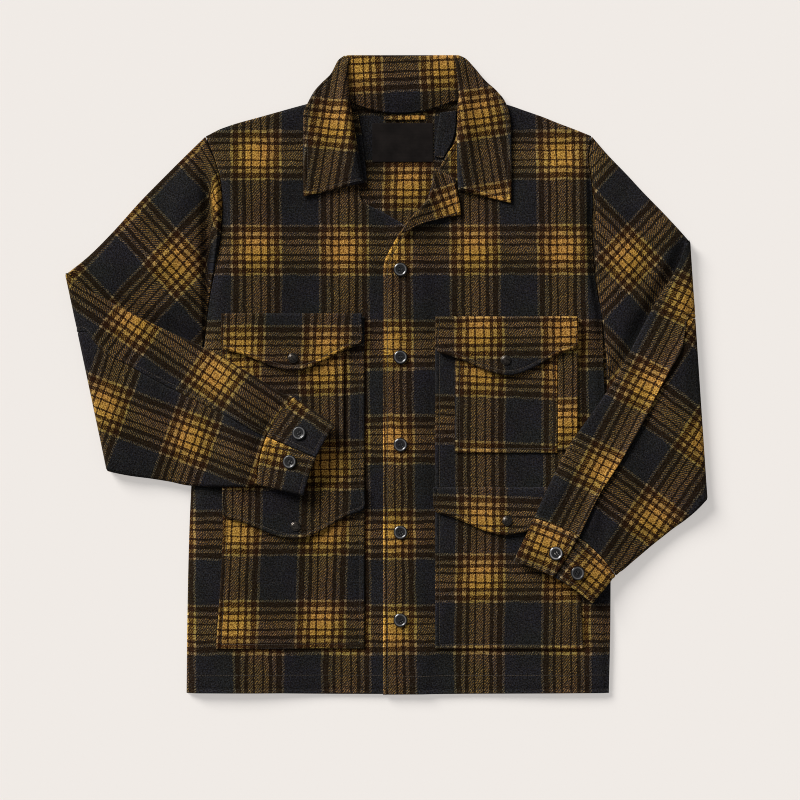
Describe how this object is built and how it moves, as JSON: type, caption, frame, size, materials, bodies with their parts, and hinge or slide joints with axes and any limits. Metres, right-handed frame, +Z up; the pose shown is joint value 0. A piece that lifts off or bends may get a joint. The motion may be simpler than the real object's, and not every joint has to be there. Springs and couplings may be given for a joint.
{
  "type": "mackinaw jacket",
  "caption": "Heavy plaid wool jacket laid flat on its back, buttoned, with flap pockets and both sleeves folded at the elbow over the front.",
  "frame": {"origin": "on the surface under the jacket, on its centre line, 380 mm above the hem", "axes": "+X to the viewer's right, which is the wearer's left; +Y from the hem towards the collar; +Z up, away from the surface"},
  "size_m": [0.8314, 0.8295, 0.0248],
  "materials": {
    "wool_plaid": "matte napped wool twill, gold and charcoal check",
    "label_cloth": "matte woven",
    "button_dark": "satin",
    "snap_metal": "dark antique satin"
  },
  "bodies": {
    "root": {"back": "wool_plaid", "right_front": "wool_plaid", "left_front": "wool_plaid", "left_lapel": "wool_plaid", "right_neck_facing": "wool_plaid", "left_neck_facing": "wool_plaid", "collar": "wool_plaid", "label": "label_cloth", "hanger_loop": "wool_plaid", "right_pocket_panel": "wool_plaid", "left_pocket_panel": "wool_plaid", "right_chest_pocket": "wool_plaid", "left_chest_pocket": "wool_plaid", "left_pen_pocket": "wool_plaid", "right_chest_flap": "wool_plaid", "left_chest_flap": "wool_plaid", "right_lower_flap": "wool_plaid", "left_lower_flap": "wool_plaid", "right_top_sleeve": "wool_plaid", "right_under_sleeve": "wool_plaid", "right_cuff": "wool_plaid", "left_top_sleeve": "wool_plaid", "left_under_sleeve": "wool_plaid", "left_cuff": "wool_plaid", "front_button_1": "button_dark", "front_button_2": "button_dark", "front_button_3": "button_dark", "front_button_4": "button_dark", "front_button_5": "button_dark", "right_cuff_button_1": "button_dark", "right_cuff_button_2": "button_dark", "left_cuff_button_1": "button_dark", "left_cuff_button_2": "button_dark", "right_chest_snap": "snap_metal", "left_chest_snap": "snap_metal", "right_lower_snap": "snap_metal", "left_lower_snap": "snap_metal"}
  },
  "joints": []
}
